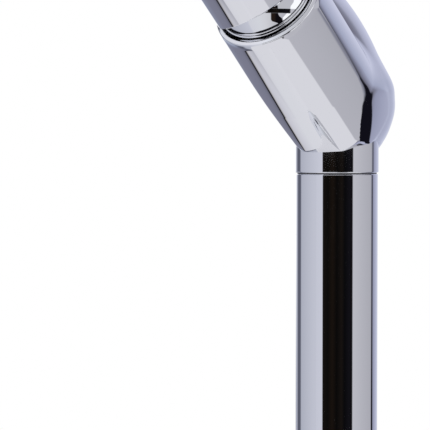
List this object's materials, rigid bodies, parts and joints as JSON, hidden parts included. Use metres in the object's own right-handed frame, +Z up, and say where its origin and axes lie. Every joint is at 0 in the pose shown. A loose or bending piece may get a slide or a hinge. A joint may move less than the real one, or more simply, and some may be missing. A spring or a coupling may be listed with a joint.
{
  "type": "tall basin mixer tap",
  "caption": "Tall basin mixer with a straight column, a slanted side barrel whose handle turns and lifts, and a curved spout.",
  "frame": {"origin": "centre of the foot ring's underside, where the mixer stands on the worktop", "axes": "+Z up along the column, -Y towards the user under the spout, +X to the user's right, where the handle is"},
  "size_m": [0.1497, 0.169, 0.3955],
  "materials": {
    "polished_chrome": "mirror polish",
    "black_rubber": "matt",
    "plain_brass": "machined",
    "zinc_steel": "zinc plated",
    "copper_tube": "drawn tube",
    "dark_plastic": "matt",
    "white_plastic": "matt",
    "red_plastic": "gloss",
    "blue_plastic": "gloss",
    "ceramic": "lapped"
  },
  "bodies": {
    "root": {"base_flange": "polished_chrome", "base_gasket": "black_rubber", "column_plug": "plain_brass", "fixing_stud": "zinc_steel", "clamp_washer": "black_rubber", "clamp_plate": "zinc_steel", "clamp_nut": "plain_brass", "column_tube": "polished_chrome", "column_coupler": "plain_brass", "seam_ring": "dark_plastic", "hot_supply_tail": "copper_tube", "cold_supply_tail": "copper_tube", "hot_marker_sleeve": "red_plastic", "cold_marker_sleeve": "blue_plastic", "tail_seals": "black_rubber", "mixer_body": "polished_chrome", "aerator_washer": "black_rubber", "aerator_housing": "polished_chrome", "aerator_insert": "white_plastic", "cartridge_base": "white_plastic", "cartridge_seals": "black_rubber", "fixed_disc": "ceramic", "cartridge_housing": "white_plastic", "limit_ring": "red_plastic", "cartridge_nut": "plain_brass", "dome_cover": "polished_chrome"},
    "cartridge_turn": {"cartridge_rotor": "dark_plastic", "rotor_seal": "black_rubber", "pivot_pin": "zinc_steel"},
    "handle": {"handle_cap": "polished_chrome", "handle_lever": "polished_chrome", "cartridge_spindle": "plain_brass", "handle_set_screw": "zinc_steel", "index_plug": "red_plastic"},
    "disc_shuttle": {"disc_carrier": "blue_plastic", "moving_disc": "ceramic"}
  },
  "joints": [
    {"name": "handle_turn", "type": "hinge", "parent": "root", "child": "cartridge_turn", "pos_m": [0.05776, 0, 0.23533], "axis": [0.788, 0, 0.6157], "range_deg": [-45, 45]},
    {"name": "handle_lift", "type": "hinge", "parent": "cartridge_turn", "child": "handle", "pos_m": [0.05382, 0, 0.23225], "axis": [-0.4353, 0.7071, 0.5572], "range_deg": [0, 25]},
    {"name": "disc_slide", "type": "slide", "parent": "cartridge_turn", "child": "disc_shuttle", "axis": [-0.4353, -0.7071, 0.5572], "range_m": [0, 0.0052]}
  ],
  "couplings": [
    {"joint": "disc_slide", "follows": "handle_lift", "m_per_rad": 0.011905}
  ]
}
